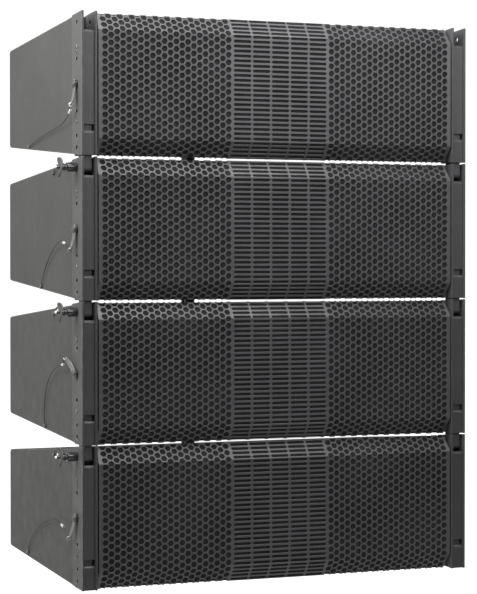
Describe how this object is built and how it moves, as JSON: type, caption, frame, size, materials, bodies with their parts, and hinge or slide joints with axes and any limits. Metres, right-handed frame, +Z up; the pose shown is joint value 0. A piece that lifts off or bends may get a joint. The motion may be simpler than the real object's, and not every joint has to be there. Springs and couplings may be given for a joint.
{
  "type": "line array loudspeaker column",
  "caption": "Column of wedge-shaped line array loudspeaker cabinets with folded perforated steel grilles, joined by front rigging channels, locking pins and a rear splay arm.",
  "frame": {"origin": "on the top front pin axis, midway between the two rigging channels", "axes": "+Z up, +Y from the grilles to the rear, +X to the right seen from the front"},
  "size_m": [0.915, 0.551, 1.1387],
  "materials": {
    "cabinet_paint": "fine textured dark grey polyurea coat over plywood",
    "grille_steel": "matt black powder coat",
    "rigging_steel": "satin black powder coat",
    "driver_steel": "black enamel",
    "cone_paper": "treated black paper pulp",
    "horn_plastic": "moulded black plastic",
    "fitting_plastic": "black moulded plastic and coated steel",
    "bracket_steel": "satin black powder coat",
    "screw_steel": "black zinc",
    "wire_rope": "dark plastic coated wire rope",
    "pin_steel": "bright steel with a black collar"
  },
  "bodies": {
    "cab1": {"cab1_enclosure": "cabinet_paint", "cab1_grille": "grille_steel", "cab1_rigging_channels": "rigging_steel", "cab1_woofer_frames": "driver_steel", "cab1_hf_unit": "horn_plastic", "cab1_rear_fittings": "fitting_plastic", "cab1_rear_bracket": "bracket_steel", "cab1_screws": "screw_steel", "cab1_lanyards": "wire_rope"},
    "cones1": {"cab1_cones": "cone_paper"},
    "mid_pin_left1": {"cab1_mid_pin_left": "pin_steel"},
    "mid_pin_right1": {"cab1_mid_pin_right": "pin_steel"},
    "cab2": {"cab2_enclosure": "cabinet_paint", "cab2_grille": "grille_steel", "cab2_rigging_channels": "rigging_steel", "cab2_woofer_frames": "driver_steel", "cab2_hf_unit": "horn_plastic", "cab2_rear_fittings": "fitting_plastic", "cab2_rear_bracket": "bracket_steel", "cab2_screws": "screw_steel", "cab2_lanyards": "wire_rope"},
    "cones2": {"cab2_cones": "cone_paper"},
    "mid_pin_left2": {"cab2_mid_pin_left": "pin_steel"},
    "mid_pin_right2": {"cab2_mid_pin_right": "pin_steel"},
    "top_pin_left2": {"cab2_top_pin_left": "pin_steel"},
    "top_pin_right2": {"cab2_top_pin_right": "pin_steel"},
    "rear_pin2": {"cab2_rear_pin": "pin_steel"},
    "cab3": {"cab3_enclosure": "cabinet_paint", "cab3_grille": "grille_steel", "cab3_rigging_channels": "rigging_steel", "cab3_woofer_frames": "driver_steel", "cab3_hf_unit": "horn_plastic", "cab3_rear_fittings": "fitting_plastic", "cab3_rear_bracket": "bracket_steel", "cab3_screws": "screw_steel", "cab3_lanyards": "wire_rope"},
    "cones3": {"cab3_cones": "cone_paper"},
    "mid_pin_left3": {"cab3_mid_pin_left": "pin_steel"},
    "mid_pin_right3": {"cab3_mid_pin_right": "pin_steel"},
    "top_pin_left3": {"cab3_top_pin_left": "pin_steel"},
    "top_pin_right3": {"cab3_top_pin_right": "pin_steel"},
    "rear_pin3": {"cab3_rear_pin": "pin_steel"},
    "cab4": {"cab4_enclosure": "cabinet_paint", "cab4_grille": "grille_steel", "cab4_rigging_channels": "rigging_steel", "cab4_woofer_frames": "driver_steel", "cab4_hf_unit": "horn_plastic", "cab4_rear_fittings": "fitting_plastic", "cab4_rear_bracket": "bracket_steel", "cab4_screws": "screw_steel", "cab4_lanyards": "wire_rope"},
    "cones4": {"cab4_cones": "cone_paper"},
    "mid_pin_left4": {"cab4_mid_pin_left": "pin_steel"},
    "mid_pin_right4": {"cab4_mid_pin_right": "pin_steel"},
    "top_pin_left4": {"cab4_top_pin_left": "pin_steel"},
    "top_pin_right4": {"cab4_top_pin_right": "pin_steel"},
    "rear_pin4": {"cab4_rear_pin": "pin_steel"},
    "link_left4": {"cab4_link_left": "rigging_steel"},
    "link_right4": {"cab4_link_right": "rigging_steel"}
  },
  "joints": [
    {"name": "woofers_1", "type": "slide", "parent": "cab1", "child": "cones1", "axis": [0, -1, 0], "range_m": [-0.005, 0.005], "stiffness_N_per_m": 3000},
    {"name": "mid_pin_left_1", "type": "slide", "parent": "cab1", "child": "mid_pin_left1", "axis": [-1, 0, 0], "range_m": [0, 0.04]},
    {"name": "mid_pin_right_1", "type": "slide", "parent": "cab1", "child": "mid_pin_right1", "axis": [1, 0, 0], "range_m": [0, 0.04]},
    {"name": "splay_12", "type": "hinge", "parent": "cab1", "child": "cab2", "pos_m": [0, 0, -0.285], "axis": [1, 0, 0], "range_deg": [0, 10]},
    {"name": "woofers_2", "type": "slide", "parent": "cab2", "child": "cones2", "axis": [0, -1, 0], "range_m": [-0.005, 0.005], "stiffness_N_per_m": 3000},
    {"name": "mid_pin_left_2", "type": "slide", "parent": "cab2", "child": "mid_pin_left2", "axis": [-1, 0, 0], "range_m": [0, 0.04]},
    {"name": "mid_pin_right_2", "type": "slide", "parent": "cab2", "child": "mid_pin_right2", "axis": [1, 0, 0], "range_m": [0, 0.04]},
    {"name": "top_pin_left_2", "type": "slide", "parent": "cab2", "child": "top_pin_left2", "axis": [-1, 0, 0], "range_m": [0, 0.04]},
    {"name": "top_pin_right_2", "type": "slide", "parent": "cab2", "child": "top_pin_right2", "axis": [1, 0, 0], "range_m": [0, 0.04]},
    {"name": "rear_pin_2", "type": "slide", "parent": "cab2", "child": "rear_pin2", "axis": [1, 0, 0], "range_m": [0, 0.045]},
    {"name": "splay_23", "type": "hinge", "parent": "cab2", "child": "cab3", "pos_m": [0, 0, -0.57], "axis": [1, 0, 0], "range_deg": [0, 10]},
    {"name": "woofers_3", "type": "slide", "parent": "cab3", "child": "cones3", "axis": [0, -1, 0], "range_m": [-0.005, 0.005], "stiffness_N_per_m": 3000},
    {"name": "mid_pin_left_3", "type": "slide", "parent": "cab3", "child": "mid_pin_left3", "axis": [-1, 0, 0], "range_m": [0, 0.04]},
    {"name": "mid_pin_right_3", "type": "slide", "parent": "cab3", "child": "mid_pin_right3", "axis": [1, 0, 0], "range_m": [0, 0.04]},
    {"name": "top_pin_left_3", "type": "slide", "parent": "cab3", "child": "top_pin_left3", "axis": [-1, 0, 0], "range_m": [0, 0.04]},
    {"name": "top_pin_right_3", "type": "slide", "parent": "cab3", "child": "top_pin_right3", "axis": [1, 0, 0], "range_m": [0, 0.04]},
    {"name": "rear_pin_3", "type": "slide", "parent": "cab3", "child": "rear_pin3", "axis": [1, 0, 0], "range_m": [0, 0.045]},
    {"name": "splay_34", "type": "hinge", "parent": "cab3", "child": "cab4", "pos_m": [0, 0, -0.855], "axis": [1, 0, 0], "range_deg": [0, 10]},
    {"name": "woofers_4", "type": "slide", "parent": "cab4", "child": "cones4", "axis": [0, -1, 0], "range_m": [-0.005, 0.005], "stiffness_N_per_m": 3000},
    {"name": "mid_pin_left_4", "type": "slide", "parent": "cab4", "child": "mid_pin_left4", "axis": [-1, 0, 0], "range_m": [0, 0.04]},
    {"name": "mid_pin_right_4", "type": "slide", "parent": "cab4", "child": "mid_pin_right4", "axis": [1, 0, 0], "range_m": [0, 0.04]},
    {"name": "top_pin_left_4", "type": "slide", "parent": "cab4", "child": "top_pin_left4", "axis": [-1, 0, 0], "range_m": [0, 0.04]},
    {"name": "top_pin_right_4", "type": "slide", "parent": "cab4", "child": "top_pin_right4", "axis": [1, 0, 0], "range_m": [0, 0.04]},
    {"name": "rear_pin_4", "type": "slide", "parent": "cab4", "child": "rear_pin4", "axis": [1, 0, 0], "range_m": [0, 0.045]},
    {"name": "link_left_4", "type": "slide", "parent": "cab4", "child": "link_left4", "axis": [0, 0, -1], "range_m": [0, 0.039]},
    {"name": "link_right_4", "type": "slide", "parent": "cab4", "child": "link_right4", "axis": [0, 0, -1], "range_m": [0, 0.039]}
  ]
}
